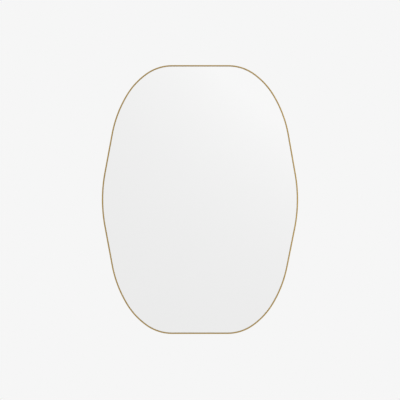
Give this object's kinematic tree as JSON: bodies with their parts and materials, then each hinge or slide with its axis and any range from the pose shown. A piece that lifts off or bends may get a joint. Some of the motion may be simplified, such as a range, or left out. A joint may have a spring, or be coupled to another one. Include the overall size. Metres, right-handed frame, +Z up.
{
  "type": "irregular shaped wall mirror",
  "caption": "Wall mirror with a soft, leaning irregular outline, a thin brass-coloured flat-bar frame and swinging D-ring hangers behind.",
  "frame": {"origin": "on the wall's face, behind the middle of the mirror's bounding box", "axes": "+X to the right as seen from the front, +Y back into the wall, +Z up"},
  "size_m": [0.612, 0.0265, 0.838],
  "materials": {
    "frame_metal": "brass-coloured plating, satin brushed along the bar",
    "mirror": "silvered float glass, polished arris",
    "film": "grey safety film",
    "foam": "double-sided foam tape",
    "board": "black-stained fibreboard",
    "zinc": "bright zinc plate",
    "bumper_rubber": "black moulded rubber"
  },
  "bodies": {
    "mirror": {"back_panel": "board", "bumper_bottom_left": "bumper_rubber", "bumper_bottom_right": "bumper_rubber", "bumper_screw_bottom_left": "zinc", "bumper_screw_bottom_right": "zinc", "bumper_screw_top_left": "zinc", "bumper_screw_top_right": "zinc", "bumper_top_left": "bumper_rubber", "bumper_top_right": "bumper_rubber", "foam_tape_1": "foam", "foam_tape_2": "foam", "foam_tape_3": "foam", "foam_tape_4": "foam", "frame_band": "frame_metal", "hanger_screw_left_lower": "zinc", "hanger_screw_left_upper": "zinc", "hanger_screw_right_lower": "zinc", "hanger_screw_right_upper": "zinc", "hanger_strap_left": "zinc", "hanger_strap_right": "zinc", "lug_screw_1": "zinc", "lug_screw_2": "zinc", "lug_screw_3": "zinc", "lug_screw_4": "zinc", "lug_screw_5": "zinc", "lug_screw_6": "zinc", "lug_screw_7": "zinc", "lug_screw_8": "zinc", "mirror_glass": "mirror", "panel_lug_1": "frame_metal", "panel_lug_2": "frame_metal", "panel_lug_3": "frame_metal", "panel_lug_4": "frame_metal", "panel_lug_5": "frame_metal", "panel_lug_6": "frame_metal", "panel_lug_7": "frame_metal", "panel_lug_8": "frame_metal", "safety_film": "film"},
    "left_ring": {"hanger_ring_left": "zinc"},
    "right_ring": {"hanger_ring_right": "zinc"}
  },
  "joints": [
    {"name": "left_ring_swing", "type": "hinge", "parent": "mirror", "child": "left_ring", "pos_m": [-0.19395, -0.0066, 0.139], "axis": [1, 0, 0], "range_deg": [0, 180]},
    {"name": "right_ring_swing", "type": "hinge", "parent": "mirror", "child": "right_ring", "pos_m": [0.19453, -0.0066, 0.139], "axis": [1, 0, 0], "range_deg": [0, 180]}
  ]
}
